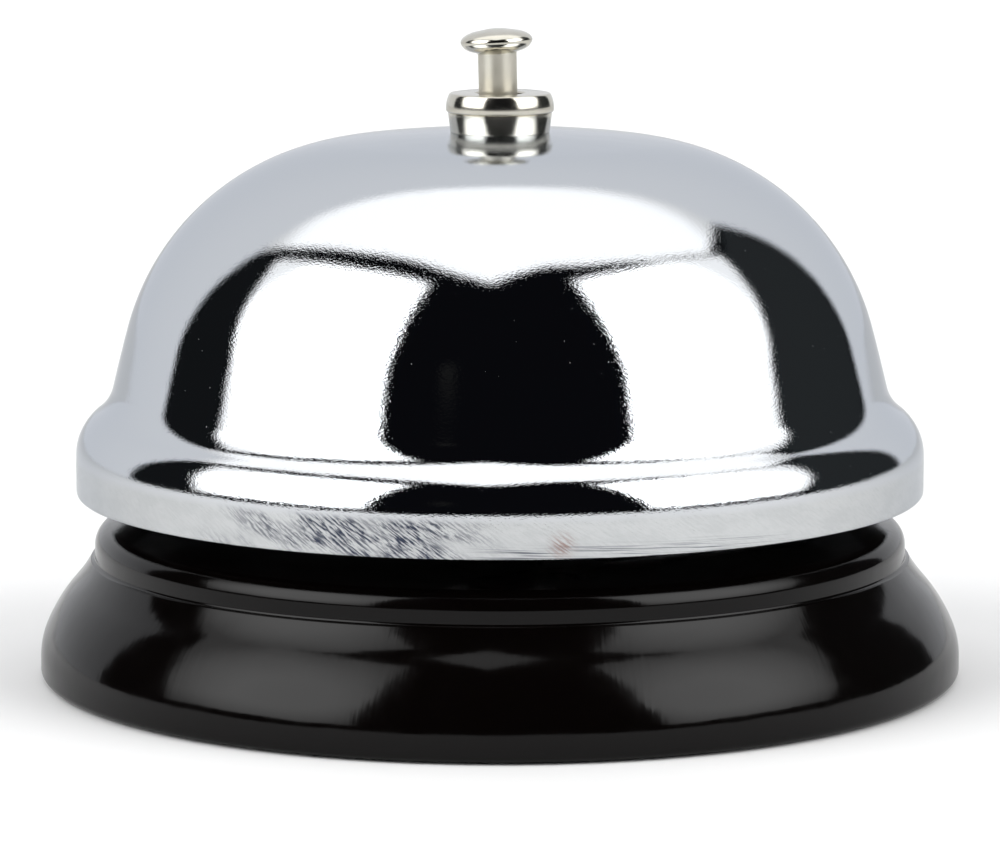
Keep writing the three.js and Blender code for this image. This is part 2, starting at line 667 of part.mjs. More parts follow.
addPart('center_post', postGeometry(), zincSteel);
const washerTop = DECK_BOTTOM - TOUCH;
const washerBottom = washerTop - WASHER_THICKNESS;
const lockWasherBottom = washerBottom - TOUCH - WASHER_THICKNESS;
addPart('base_washer', ring(SCREW_HOLE, BASE_WASHER_RADIUS, washerBottom, washerTop), zincSteel);
addPart(
  'lock_washer',
  openRing(SCREW_HOLE, LOCK_WASHER_RADIUS, LOCK_WASHER_GAP, lockWasherBottom, WASHER_THICKNESS),
  springSteel,
);
addPart('base_nut', nutGeometry(lockWasherBottom - TOUCH), zincSteel);

const seatBottom = POST_SHOULDER + TOUCH;
const seatTop = seatBottom + WASHER_THICKNESS;
const cushionBottom = seatTop + TOUCH;
addPart('dome_seat_washer', ring(SCREW_HOLE, SEAT_WASHER_RADIUS, seatBottom, seatTop), zincSteel);
addPart(
  'dome_cushion_washer',
  ring(SCREW_HOLE, CUSHION_RADIUS, cushionBottom, cushionBottom + WASHER_THICKNESS),
  redFibre,
);
addPart('bell_dome', domeGeometry(), chrome);
addPart('collar_nut', collarGeometry(), nickel);

// The bracket, its rivets and the pin.
addPart('striker_bracket', bracketGeometry(), zincSteel);
RIVET_PLACES.forEach((x, index) => {
  addPart(`bracket_rivet_${index + 1}`, bracketRivetGeometry(), brass).position.x = x;
});

const pivotGroup = new THREE.Group(); // its Z axis lies along the pin
pivotGroup.position.copy(PIVOT);
pivotGroup.rotation.x = -Math.PI / 2;
group.add(pivotGroup);
addPart('pivot_pin', pinGeometry(), zincSteel, pivotGroup);
const clipBore = CLIP_GROOVE_RADIUS + LOOSE;
const pinClipFace = -BRACKET_HALF_WIDTH - LOOSE - TOUCH - CLIP_THICKNESS;
addPart(
  'pivot_pin_clip',
  openRing(clipBore, PIN_CLIP_RADIUS, CLIP_GAP, pinClipFace, CLIP_THICKNESS),
  springSteel,
  pivotGroup,
);
const spacerInner = LEVER_WIDTH / 2 + LOOSE;
const spacerOuter = CHEEK_INNER - LOOSE;
const spacer = (from, to) => ring(PIN_HOLE, SPACER_RADIUS, from, to, TINY_SEGMENTS);
addPart('pivot_spacer_1', spacer(spacerInner, spacerOuter), whiteNylon, pivotGroup);
addPart('pivot_spacer_2', spacer(-spacerOuter, -spacerInner), whiteNylon, pivotGroup);

// The striker.
addPart('striker_lever', leverGeometry(), zincSteel);
addPart('hammer_head', hammerGeometry(), zincSteel).position.copy(HAMMER);
const rivetHalfLength = HAMMER_RADIUS - LOOSE;
addPart('hammer_rivet', crossBar(HAMMER_RIVET_RADIUS, HAMMER, -rivetHalfLength, rivetHalfLength), zincSteel);

// The plunger and the spring that lifts it.
addPart('push_button', buttonGeometry(), nickel);
addPart('push_rod', rodGeometry(), zincSteel);
addPart(
  'push_rod_clip',
  openRing(clipBore, ROD_CLIP_RADIUS, CLIP_GAP, ROD_GROOVE_BOTTOM + TOUCH, CLIP_THICKNESS),
  springSteel,
);
addPart('return_spring', springGeometry(), springSteel);

export default group;
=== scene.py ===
import math

import bmesh
import bpy
from mathutils import Matrix, Vector


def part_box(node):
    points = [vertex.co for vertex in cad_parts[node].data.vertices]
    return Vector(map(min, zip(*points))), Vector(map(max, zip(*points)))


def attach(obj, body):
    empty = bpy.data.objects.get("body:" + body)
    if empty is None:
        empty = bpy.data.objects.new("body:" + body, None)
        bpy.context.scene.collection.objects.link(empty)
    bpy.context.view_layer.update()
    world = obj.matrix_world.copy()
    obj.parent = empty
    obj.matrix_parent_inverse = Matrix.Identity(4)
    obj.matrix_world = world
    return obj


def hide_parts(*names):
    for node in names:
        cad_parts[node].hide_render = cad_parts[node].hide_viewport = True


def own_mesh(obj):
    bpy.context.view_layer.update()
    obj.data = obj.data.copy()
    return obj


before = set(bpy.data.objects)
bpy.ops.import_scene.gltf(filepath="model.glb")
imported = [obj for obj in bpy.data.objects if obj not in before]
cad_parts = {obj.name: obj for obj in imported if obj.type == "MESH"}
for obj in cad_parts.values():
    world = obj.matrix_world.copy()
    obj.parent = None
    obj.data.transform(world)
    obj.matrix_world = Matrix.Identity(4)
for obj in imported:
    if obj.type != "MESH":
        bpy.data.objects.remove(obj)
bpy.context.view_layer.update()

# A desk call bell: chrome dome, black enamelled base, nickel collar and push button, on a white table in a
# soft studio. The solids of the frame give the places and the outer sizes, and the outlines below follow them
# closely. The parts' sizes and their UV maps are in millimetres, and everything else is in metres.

MM = 0.001
SHEET = 0.9


# ------------------------------------------------------------------ the frame, in millimetres

def node_box(node):
    low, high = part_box(node)
    return [value / MM for value in low], [value / MM for value in high]


def bottom_of(node):
    return node_box(node)[0][2]


def top_of(node):
    return node_box(node)[1][2]


def radius_of(node):
    low, high = node_box(node)
    return (high[0] - low[0]) / 2


def middle_of(node):
    low, high = node_box(node)
    return [(a + b) / 2 for a, b in zip(low, high)]


# ------------------------------------------------------------------ outlines

def trace_arcs(start, heading, arcs, degrees_per_step=2.0, longest_step=1.5):
    """Follows an outline downhill as a chain of tangent arcs.

    A heading is the slope below the horizontal in degrees, and each arc is (radius, end heading). It bulges
    outward when the heading grows and is hollow when the heading falls. Gives (r, z, heading) points.
    """
    outline = [(start[0], start[1], heading)]
    for radius, end_heading in arcs:
        r, z, begin = outline[-1]
        side = 1 if end_heading > begin else -1
        a = math.radians(begin)
        centre_r = r - side * radius * math.sin(a)
        centre_z = z - side * radius * math.cos(a)
        bend = abs(end_heading - begin)
        steps = max(2, math.ceil(bend / degrees_per_step))
        steps = max(steps, math.ceil(radius * math.radians(bend) / longest_step))
        for step in range(1, steps + 1):
            here = begin + (end_heading - begin) * step / steps
            a = math.radians(here)
            r = centre_r + side * radius * math.sin(a)
            z = centre_z + side * radius * math.cos(a)
            outline.append((r, z, here))
    return outline


def outer_side(outline):
    return [(r, z) for r, z, heading in outline]


def inner_side(outline, depth=SHEET):
    side = []
    for r, z, heading in outline:
        a = math.radians(heading)
        side.append((r - depth * math.sin(a), z - depth * math.cos(a)))
    return side


def round_corner(centre, radius, start_angle, end_angle, steps=6):
    """Points of a round edge about its centre, from one angle to the other in degrees."""
    points = []
    for step in range(steps + 1):
        angle = math.radians(start_angle + (end_angle - start_angle) * step / steps)
        points.append((centre[0] + radius * math.cos(angle), centre[1] + radius * math.sin(angle)))
    return points


def softened_ring(inner, outer, bottom, top, edge=0.15):
    """A washer's section with rounded edges, outer side upward."""
    section = round_corner((inner + edge, bottom + edge), edge, -180, -90, 3)
    section += round_corner((outer - edge, bottom + edge), edge, -90, 0, 3)
    section += round_corner((outer - edge, top - edge), edge, 0, 90, 3)
    return section + round_corner((inner + edge, top - edge), edge, 90, 180, 3)


def threaded_rows(minor, major, bottom, top, pitch):
    """Heights of a threaded length, and the rule that gives the radius at a height and angle."""
    rows_per_turn = 8
    rows = max(2, round((top - bottom) / pitch * rows_per_turn))
    heights = [bottom + (top - bottom) * row / rows for row in range(rows + 1)]

    def radius(height, angle):
        phase = ((height - bottom) / pitch - angle / (2 * math.pi)) % 1
        crest = 1 - abs(2 * phase - 1)
        fade = min(1, (height - bottom) / pitch, (top - height) / pitch)
        return minor + (major - minor) * crest * fade

    return heights, radius


# ------------------------------------------------------------------ meshes

def new_piece(name, vertices, faces, material, sharp_angle=30):
    """Makes a mesh object from millimetre points, smooth apart from its sharp edges."""
    mesh = bpy.data.meshes.new(name)
    mesh.from_pydata([tuple(value * MM for value in point) for point in vertices], [], faces)
    mesh.validate()
    mesh.shade_smooth()
    mesh.set_sharp_from_angle(angle=math.radians(sharp_angle))
    mesh.materials.append(material)
    piece = bpy.data.objects.new(name, mesh)
    bpy.context.scene.collection.objects.link(piece)
    return piece


def turn(name, section, material, segments=96, centre=(0, 0), closed=True, sharp_angle=30):
    """Turns a section round the vertical axis through centre. The section's outer side runs upward.

    A closed section is a ring that misses the axis; an open one starts and ends on it. The UV map holds
    millimetres: U round the piece at its widest radius, V along the section.
    """
    widest = max(r for r, z in section)
    seam = math.pi / 2
    lengths = [0.0]
    loop = section + [section[0]] if closed else section
    for (r0, z0), (r1, z1) in zip(loop, loop[1:]):
        lengths.append(lengths[-1] + math.hypot(r1 - r0, z1 - z0))
    vertices = []
    starts = []
    for r, z in section:
        on_axis = r < 1e-6
        starts.append((len(vertices), on_axis))
        for step in range(1 if on_axis else segments):
            angle = seam + 2 * math.pi * step / segments
            vertices.append((centre[0] + r * math.cos(angle), centre[1] + r * math.sin(angle), z))
    faces = []
    places = []
    for row in range(len(loop) - 1):
        low, low_on_axis = starts[row]
        high, high_on_axis = starts[(row + 1) % len(section)]
        if low_on_axis and high_on_axis:
            continue
        for step in range(segments):
            after = (step + 1) % segments
            u0 = step / segments * 2 * math.pi * widest
            u1 = (step + 1) / segments * 2 * math.pi * widest
            v0, v1 = lengths[row], lengths[row + 1]
            if low_on_axis:
                faces.append((low, high + after, high + step))
                places.append(((u0, v0), (u1, v1), (u0, v1)))
            elif high_on_axis:
                faces.append((low + step, low + after, high))
                places.append(((u0, v0), (u1, v0), (u0, v1)))
            else:
                faces.append((low + step, low + after, high + after, high + step))
                places.append(((u0, v0), (u1, v0), (u1, v1), (u0, v1)))
    piece = new_piece(name, vertices, faces, material, sharp_angle)
    uv = piece.data.uv_layers.new(name="turned").data
    flat = [place for face in places for place in face]
    for entry, place in zip(uv, flat):
        entry.uv = place
    return piece


def turn_by_rules(name, section, material, segments=72, sharp_angle=38, start_angle=0.0):
    """Like turn for a closed section whose radii and heights may be rules instead of numbers.

    A height may be a rule of the angle, and a radius may be a rule of the height and the angle.
    """
    vertices = []
    for radius, height in section:
        for step in range(segments):
            angle = start_angle + 2 * math.pi * step / segments
            z = height(angle) if callable(height) else height
            r = radius(z, angle) if callable(radius) else radius
            vertices.append((r * math.cos(angle), r * math.sin(angle), z))
    faces = []
    for row in range(len(section)):
        low = row * segments
        high = (row + 1) % len(section) * segments
        for step in range(segments):
            after = (step + 1) % segments
            faces.append((low + step, low + after, high + after, high + step))
    return new_piece(name, vertices, faces, material, sharp_angle)


def sweep(name, path, frames, section, material, sharp_angle=30):
    """Carries a section along a path. Each frame holds the directions of the section's two axes."""
    vertices = []
    for place, (side, rise) in zip(path, frames):
        for across, up in section:
            vertices.append(place + side * across + rise * up)
    count = len(section)
    faces = []
    for row in range(len(path) - 1):
        for step in range(count):
            after = (step + 1) % count
            low = row * count
            high = low + count
            faces.append((low + step, low + after, high + after, high + step))
    faces.append(tuple(range(count))[::-1])
    faces.append(tuple((len(path) - 1) * count + step for step in range(count)))
    return new_piece(name, vertices, faces, material, sharp_angle)


def make_block(name, place):
    """A six-sided solid. The rule place gives each corner of a cube from -1 to 1 its point in millimetres."""
    mesh = bpy.data.meshes.new(name)
    shape = bmesh.new()
    bmesh.ops.create_cube(shape, size=2)
    for corner in shape.verts:
        corner.co = place(corner.co) * MM
    shape.to_mesh(mesh)
    shape.free()
    solid = bpy.data.objects.new(name, mesh)
    bpy.context.scene.collection.objects.link(solid)
    return solid


def apply_modifiers(piece):
    evaluated = piece.evaluated_get(bpy.context.evaluated_depsgraph_get())
    piece.data = bpy.data.meshes.new_from_object(evaluated)
    piece.modifiers.clear()


def cut_away(piece, cutters, sharp_angle):
    """Cuts the solids in cutters out of a piece, and removes them."""
    for cutter in cutters:
        cut = piece.modifiers.new(cutter.name, "BOOLEAN")
        cut.operation = "DIFFERENCE"
        cut.object = cutter
        cut.solver = "EXACT"
    apply_modifiers(piece)
    piece.data.shade_smooth()
    piece.data.set_sharp_from_angle(angle=math.radians(sharp_angle))
    for cutter in cutters:
        bpy.data.objects.remove(cutter)


def softened_copy(name, node, material, edge):
    """A copy of a stamped or cut part whose sharp edges are rounded a little."""
    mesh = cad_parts[node].data.copy()
    mesh.name = name
    shape = bmesh.new()
    shape.from_mesh(mesh)
    bmesh.ops.remove_doubles(shape, verts=shape.verts, dist=0.000002)
    bmesh.ops.dissolve_limit(shape, angle_limit=math.radians(2), verts=shape.verts, edges=shape.edges)
    shape.to_mesh(mesh)
    shape.free()
    mesh.materials.clear()
    mesh.materials.append(material)
    mesh.shade_smooth()
    piece = bpy.data.objects.new(name, mesh)
    bpy.context.scene.collection.objects.link(piece)
    bevel = piece.modifiers.new("edge", "BEVEL")
    bevel.width = edge * MM
    bevel.segments = 2
    bevel.limit_method = "ANGLE"
    bevel.angle_limit = math.radians(32)
    bevel.harden_normals = True
    apply_modifiers(piece)
    return piece


def lay_along_y(piece, x, z):
    """Turns a piece whose axis is Z so that its axis lies along Y through (x, z)."""
    for vertex in piece.data.vertices:
        across, up, along = vertex.co
        vertex.co = (x * MM + across, along, z * MM - up)


def finish_part(piece, body, node):
    """Lets a piece ride on its body and stand for its node."""
    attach(piece, body)
    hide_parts(node)


# ------------------------------------------------------------------ materials

class Material:
    """One node material: a Principled shader and the nodes that feed it."""

    def __init__(self, name, **settings):
        self.material = bpy.data.materials.new(name)
        self.material.use_nodes = True
        self.tree = self.material.node_tree
        self.shader = self.tree.nodes["Principled BSDF"]
        for socket, value in settings.items():
            self.set(self.shader, socket.replace("_", " "), value)

    def set(self, node, socket, value):
        if isinstance(value, bpy.types.NodeSocket):
            self.tree.links.new(value, node.inputs[socket])
        else:
            node.inputs[socket].default_value = value

    def add(self, kind, inputs=None, **properties):
        node = self.tree.nodes.new(kind)
        for name, value in properties.items():
            setattr(node, name, value)
        for socket, value in (inputs or {}).items():
            self.set(node, socket, value)
        return node

    def coordinates(self, source="Object", rotation=0.0, scale=(1, 1, 1)):
        """Object space is in metres and the UV map in millimetres; scale brings either to the wanted size."""
        place = self.add("ShaderNodeTexCoord").outputs[source]
        turn_about_z = (0, 0, math.radians(rotation))
        turned = self.add("ShaderNodeMapping", {"Vector": place, "Rotation": turn_about_z})
        inputs = {0: turned.outputs["Vector"], 1: scale}
        mapped = self.add("ShaderNodeVectorMath", inputs, operation="MULTIPLY")
        return mapped.outputs["Vector"]

    def noise(self, vector, scale, detail=2.0, roughness=0.5):
        inputs = {"Vector": vector, "Scale": scale, "Detail": detail, "Roughness": roughness}
        return self.add("ShaderNodeTexNoise", inputs).outputs["Fac"]

    def streaks(self, rotation, across, along, detail=2.0, roughness=0.5):
        """Noise on the UV map, turned by degrees and scaled per millimetre across and along."""
        return self.noise(self.coordinates("UV", rotation, (across, along, 1)), 1.0, detail, roughness)

    def split(self, vector):
        parts = self.add("ShaderNodeSeparateXYZ", {"Vector": vector})
        return parts.outputs["X"], parts.outputs["Y"], parts.outputs["Z"]

    def math(self, operation, first, second=0.0):
        return self.add("ShaderNodeMath", {0: first, 1: second}, operation=operation).outputs["Value"]

    def multiply(self, first, *others):
        for other in others:
            first = self.math("MULTIPLY", first, other)
        return first

    def total(self, first, *others):
        for other in others:
            first = self.math("ADD", first, other)
        return first

    def ramp(self, value, from_low, from_high, to_low, to_high):
        inputs = {"Value": value, "From Min": from_low, "From Max": from_high}
        inputs.update({"To Min": to_low, "To Max": to_high})
        return self.add("ShaderNodeMapRange", inputs).outputs["Result"]

    def between(self, value, rise_start, rise_end, fall_start, fall_end):
        """A mask that is 1 from the end of the rise to the start of the fall, and 0 beyond both."""
        rise = self.ramp(value, rise_start, rise_end, 0.0, 1.0)
        return self.multiply(rise, self.ramp(value, fall_start, fall_end, 1.0, 0.0))

    def mix_color(self, factor, first, second):
        node = self.add("ShaderNodeMix", data_type="RGBA")
        self.set(node, 0, factor)
        self.set(node, 6, first)
        self.set(node, 7, second)
        return node.outputs[2]

    def bump(self, height, distance, strength=1.0, normal=None):
        inputs = {"Height": height, "Distance": distance, "Strength": strength}
        if normal is not None:
            inputs["Normal"] = normal
        return self.add("ShaderNodeBump", inputs).outputs["Normal"]


def make_chrome():
    """Mirror chrome with fine polishing lines, dust specks and a scuffed, brushed rim."""
    m = Material("chrome", Metallic=1.0, Specular_Tint=(0.8, 0.82, 0.85, 1))
    place = m.add("ShaderNodeTexCoord").outputs["Object"]
    across, away, up = m.split(place)

    # polishing lines in three directions, deeper on the bead, over broad waves of the sheet
    slanting = m.streaks(28, 2.2, 6.2)
    level = m.streaks(-12, 2.2, 6.8)
    upright = m.streaks(78, 2.6, 6.0)
    level_share = 1.3
    upright_share = 0.5
    mean_height = (1 + level_share + upright_share) / 2
    crossing = m.total(m.multiply(level, level_share), m.multiply(upright, upright_share))
    hair = m.math("SUBTRACT", m.total(slanting, crossing), mean_height)
    waist = 0.0275
    bead = 0.0245
    hair = m.multiply(hair, m.ramp(up, waist, bead, 1.0, 1.4))
    waves = m.streaks(0, 0.06, 0.14)

    # the rim is brushed, and its front is worn
    rim = m.ramp(up, 0.0208, 0.0202, 0.0, 1.0)
    front = m.ramp(away, -0.02, -0.026, 0.0, 1.0)
    brushed = m.streaks(32, 0.9, 6.0, 3.0, 0.6)
    cloudy = m.streaks(0, 0.25, 0.6)

    # a smear of dark scuffs left of the middle
    smear = m.multiply(m.between(across, -0.027, -0.018, -0.006, 0.001), front, rim)
    strokes = m.streaks(36, 0.7, 5.4, 4.0, 0.7)
    clusters = m.ramp(m.streaks(20, 0.14, 0.4), 0.4, 0.56, 0.1, 1.0)
    scuffs = m.multiply(smear, clusters, m.ramp(strokes, 0.44, 0.56, 0.0, 1.0))

    # level scratches low on the rim, right of the middle
    lines = m.streaks(2, 0.12, 9.0)
    low_rim = m.ramp(up, 0.0186, 0.0178, 0.0, 1.0)
    worn = m.multiply(m.between(across, -0.004, 0.002, 0.018, 0.026), front, low_rim)
    scratches = m.multiply(worn, m.ramp(lines, 0.5, 0.62, 0.0, 0.8))

    # one speck of rust
    rust_place = (0.0053, -0.0387, 0.0183)
    from_rust = m.add("ShaderNodeVectorMath", {0: place, 1: rust_place}, operation="DISTANCE")
    rust = m.ramp(from_rust.outputs["Value"], 0.0016, 0.0003, 0.0, 1.0)
    rust = m.multiply(rust, m.ramp(strokes, 0.42, 0.6, 0.0, 0.65))

    plate_colour = (0.67, 0.69, 0.715, 1)
    rim_colour = (0.66, 0.675, 0.68, 1)
    shade_colour = (0.3, 0.31, 0.33, 1)
    scuff_colour = (0.045, 0.055, 0.09, 1)
    rust_colour = (0.26, 0.1, 0.06, 1)
    shade = m.multiply(rim, m.ramp(m.total(brushed, cloudy), 0.85, 1.15, 0.0, 0.15))
    colour = m.mix_color(rim, plate_colour, rim_colour)
    colour = m.mix_color(shade, colour, shade_colour)
    colour = m.mix_color(m.math("MAXIMUM", scuffs, scratches), colour, scuff_colour)
    m.set(m.shader, "Base Color", m.mix_color(rust, colour, rust_colour))

    cells = m.add("ShaderNodeTexVoronoi", {"Vector": m.coordinates("UV", 0, (0.75, 0.75, 1)), "Scale": 1.0})
    specks = m.ramp(cells.outputs["Distance"], 0.025, 0.05, 0.3, 0.0)
    polish = m.ramp(slanting, 0.3, 0.7, 0.006, 0.02)
    dull = m.multiply(rim, m.ramp(brushed, 0.35, 0.65, 0.05, 0.16))
    m.set(m.shader, "Roughness", m.total(polish, specks, dull))

    fine = m.bump(hair, 0.0000042)
    broad = m.bump(waves, 0.00003, normal=fine)
    m.set(m.shader, "Normal", m.bump(m.multiply(rim, brushed), 0.000012, normal=broad))
    return m.material


def make_enamel():
    """Gloss black enamel over stamped steel, with the upright ripple of the pressing under it."""
    m = Material("enamel", Base_Color=(0.0014, 0.0009, 0.0008, 1), IOR=1.5, Specular_IOR_Level=0.2)
    peel = m.noise(m.coordinates("Object"), 420.0)
    ripple = m.streaks(4, 2.6, 0.16)
    swell = m.streaks(0, 0.12, 0.3, 1.0)
    fine = m.bump(peel, 0.00001)
    upright = m.bump(ripple, 0.0000035, normal=fine)
    m.set(m.shader, "Normal", m.bump(swell, 0.00004, normal=upright))
    m.set(m.shader, "Roughness", m.ramp(peel, 0.3, 0.7, 0.08, 0.13))
    return m.material


def make_nickel(name, roughness):
    """Turned brass under warm nickel plate, with fine rings from the lathe and cloudy wear."""
    m = Material(name, Metallic=1.0)
    rings = m.streaks(0, 0.04, 7.0)
    wear = m.noise(m.coordinates("Object"), 500.0, 3.0)
    m.set(m.shader, "Base Color", m.mix_color(wear, (0.56, 0.54, 0.46, 1), (0.72, 0.69, 0.62, 1)))
    m.set(m.shader, "Normal", m.bump(rings, 0.000005))
    m.set(m.shader, "Roughness", m.ramp(wear, 0.3, 0.7, 0.85 * roughness, 1.15 * roughness))
    return m.material


def make_steel(name, colour, roughness):
    """Steel or brass sheet and wire, with slightly darker patches and a fine grain."""
    m = Material(name, Metallic=1.0, Roughness=roughness)
    patches = m.noise(m.coordinates("Object"), 350.0, 4.0)
    grain = m.noise(m.coordinates("Object"), 2500.0)
    dark = tuple(channel * 0.8 for channel in colour)
    m.set(m.shader, "Base Color", m.mix_color(patches, dark + (1,), colour + (1,)))
    m.set(m.shader, "Roughness", m.ramp(patches, 0.3, 0.7, roughness * 0.7, roughness * 1.4))
    m.set(m.shader, "Normal", m.bump(grain, 0.000008))
    return m.material


def make_soft(name, colour, roughness, grain_size):
    """Rubber, fibre or nylon, with a grain of the given size in its colour and its surface."""
    m = Material(name, Roughness=roughness)
    grain = m.noise(m.coordinates("Object"), 1 / grain_size, 3.0)
    dark = tuple(channel * 0.7 for channel in colour)
    m.set(m.shader, "Base Color", m.mix_color(grain, dark + (1,), colour + (1,)))
    m.set(m.shader, "Normal", m.bump(grain, grain_size / 10))
    return m.material


chrome = make_chrome()
enamel = make_enamel()
dull_chrome = make_steel("dull_chrome", (0.15, 0.155, 0.165), 0.5)
nickel = make_nickel("nickel_plate", 0.16)
satin_nickel = make_nickel("satin_nickel", 0.5)
zinc_steel = make_steel("zinc_steel", (0.5, 0.51, 0.52), 0.3)
spring_steel = make_steel("spring_steel", (0.3, 0.31, 0.33), 0.28)
brass = make_steel("brass", (0.62, 0.42, 0.14), 0.25)
rubber = make_soft("rubber", (0.02, 0.02, 0.02), 0.7, 0.0004)
fibre = make_soft("fibre", (0.3, 0.05, 0.03), 0.75, 0.0003)
nylon = make_soft("nylon", (0.75, 0.73, 0.66), 0.45, 0.0005)


# ------------------------------------------------------------------ the dome and the base

def make_dome():
    """The dome: one sheet that follows tangent arcs down to its bead, dull on the inside."""
    low = bottom_of("bell_dome")
    hole = 3.4
    apex = 50.2
    crown_radius = 123.2
    heading = math.degrees(math.asin(hole / crown_radius))
    start = (hole, apex - crown_radius * (1 - math.cos(math.radians(heading))))
    crown = (crown_radius, 6.7)
    shoulder = (23.4, 75)
    wall = (212, 76.5)
    waist = (4.41, 37.3)
    bead = (4.66, 90)
    outline = trace_arcs(start, heading, [crown, shoulder, wall, waist, bead])
    rim = outline[-1][0]
    lip = 0.3
    outer_edge = round_corner((rim - lip, low + lip), lip, 0, -90)
    inner_edge = round_corner((rim - SHEET + lip, low + lip), lip, -90, -180)
    section = inner_side(outline) + inner_edge[::-1] + outer_edge[::-1] + outer_side(outline)[::-1]
    segments = 360
    dome = turn("dome_shell", section, chrome, segments, sharp_angle=40)
    dome.data.materials.append(dull_chrome)
    for face in dome.data.polygons[:segments * len(outline)]:
        face.material_index = 1
    finish_part(dome, "root", "bell_dome")


def make_base():
    """The base: a deck, a neck and a flared skirt pressed from one sheet, with a flange turned in below."""
    deck = top_of("base_shell")
    low = bottom_of("base_shell")
    skirt = radius_of("base_shell")
    hole = 3.25
    deck_edge = 26.75
    crease = 10.95
    shoulder = trace_arcs((deck_edge, deck), 0, [(33.7, 16), (1.9, 90)])
    neck_foot = shoulder[-1][0] + 0.02
    neck = [
        (neck_foot, crease + 0.4, 90),
        (neck_foot, crease + 0.3, 90),
        (neck_foot + 0.03, crease + 0.18, 90),
        (neck_foot + 0.12, crease + 0.08, 90),
    ]
    flare = trace_arcs((0, crease), 61.4, [(12.4, 48.3), (14.3, 66.9), (7.16, 90)])
    shift = skirt - flare[-1][0]
    flare = [(r + shift, z, heading) for r, z, heading in flare]
    sheet_start = [(hole, deck, 0)]
    outline = sheet_start + shoulder + neck + flare

    hem_inner = skirt - 1.8
    hem_edge = 0.7
    flange = 1.7
    flange_top = flange + SHEET
    flange_inner = 35.4
    flange_edge = 0.3
    hem = round_corner((skirt - hem_edge, low + hem_edge), hem_edge, 0, -90, 8)
    hem += round_corner((hem_inner + hem_edge, low + hem_edge), hem_edge, -90, -180, 8)
    hem += [
        (hem_inner, flange),
        (flange_inner + flange_edge, flange),
        (flange_inner, flange + flange_edge),
        (flange_inner, flange_top - flange_edge),
        (flange_inner + flange_edge, flange_top),
        (skirt - SHEET, flange_top),
    ]
    inside = [point for point in inner_side(sheet_start + shoulder + flare) if point[1] > flange_top]
    section = inside + hem[::-1] + outer_side(outline)[::-1]
    base = turn("base_stamping", section, enamel, 360, sharp_angle=40)

    fixings = {f"rubber_foot_{number}": flange for number in range(1, 5)}
    fixings.update({f"bracket_rivet_{number}": deck - SHEET for number in (1, 2)})
    drill = 1.45
    overrun = 0.4
    bits = []
    for node, sheet_bottom in fixings.items():
        x, y, z = middle_of(node)
        bit_low = sheet_bottom - overrun
        bit_high = sheet_bottom + SHEET + overrun
        bit = [(0, bit_low), (drill, bit_low), (drill, bit_high), (0, bit_high)]
        bits.append(turn(f"hole_for_{node}", bit, enamel, 32, (x, y), closed=False))
    cut_away(base, bits, 40)
    finish_part(base, "root", "base_shell")


# ------------------------------------------------------------------ the collar and the button

def make_collar():
    """The collar nut: a neck and a head that both widen upward, with a groove between them."""
    low = bottom_of("collar_nut")
    top = top_of("collar_nut")
    wide = radius_of("collar_nut")
    bore = 3.25
    mouth = 2.2
    mouth_bottom = top - 0.55
    recess = 4.1
    foot = top_of("bell_dome") - 0.03
    foot_radius = 4.52
    groove = low + 1.66
    groove_radius = 4.72
    widest = low + 2.05
    section = [
        (bore, low),
        (recess, low),
        (recess + 0.1, foot),
        (foot_radius, foot),
        (foot_radius + 0.04, foot + 0.06),
        (groove_radius + 0.04, groove - 0.06),
        (groove_radius, groove),
        (groove_radius + 0.04, groove + 0.04),
        (wide - 0.12, groove + 0.07),
        (wide - 0.02, groove + 0.17),
    ]
    bulge = 3.0
    for tilt in range(0, 30, 5):
        a = math.radians(tilt)
        section.append((wide - bulge * (1 - math.cos(a)), widest + bulge * math.sin(a)))
    section += [
        (wide - 0.34, top - 0.06),
        (wide - 0.42, top - 0.015),
        (wide - 0.52, top),
        (mouth + 0.15, top),
        (mouth, top - 0.15),
        (mouth, mouth_bottom),
        (bore, mouth_bottom),
    ]
    collar = turn("collar_turned", section, nickel, 160, sharp_angle=32)
    finish_part(collar, "root", "collar_nut")


def make_button():
    """The button: a bright cap on a satin stem, which is bent a little to the left above the collar."""
    top = top_of("push_button")
    low = bottom_of("push_button")
    cap = radius_of("push_button")
    stem = 1.77
    hollow = 1.2
    hollow_top = low + 4
    edge = top - 1.15
    under = top - 2.15
    section = [
        (0, hollow_top),
        (hollow, hollow_top),
        (hollow, low),
        (stem, low),
        (stem, under - 0.2),
        (stem + 0.06, under - 0.08),
        (stem + 0.25, under),
        (cap - 0.75, under + 0.16),
        (cap - 0.35, under + 0.4),
        (cap - 0.09, under + 0.74),
        (cap, edge),
        (cap - 0.04, edge + 0.18),
        (cap - 0.2, edge + 0.4),
        (cap - 0.5, edge + 0.62),
        (cap - 1, edge + 0.83),
        (cap / 2, top - 0.2),
        (cap / 4, top - 0.05),
        (0, top),
    ]
    button = turn("button_turned", section, satin_nickel, 160, closed=False, sharp_angle=32)
    button.data.materials.append(nickel)
    for face in button.data.polygons:
        if face.center.z > (under - 0.1) * MM:
            face.material_index = 1
    lean_degrees = -3.2
    bend_height = top_of("collar_nut") - 1
    lean = Matrix.Rotation(math.radians(lean_degrees), 3, "Y")
    bend = Vector((0, 0, bend_height * MM))
    for vertex in button.data.vertices:
        if vertex.co.z > bend.z:
            vertex.co = bend + lean @ (vertex.co - bend)
    finish_part(button, "plunger", "push_button")


# ------------------------------------------------------------------ the feet and the fasteners of the post

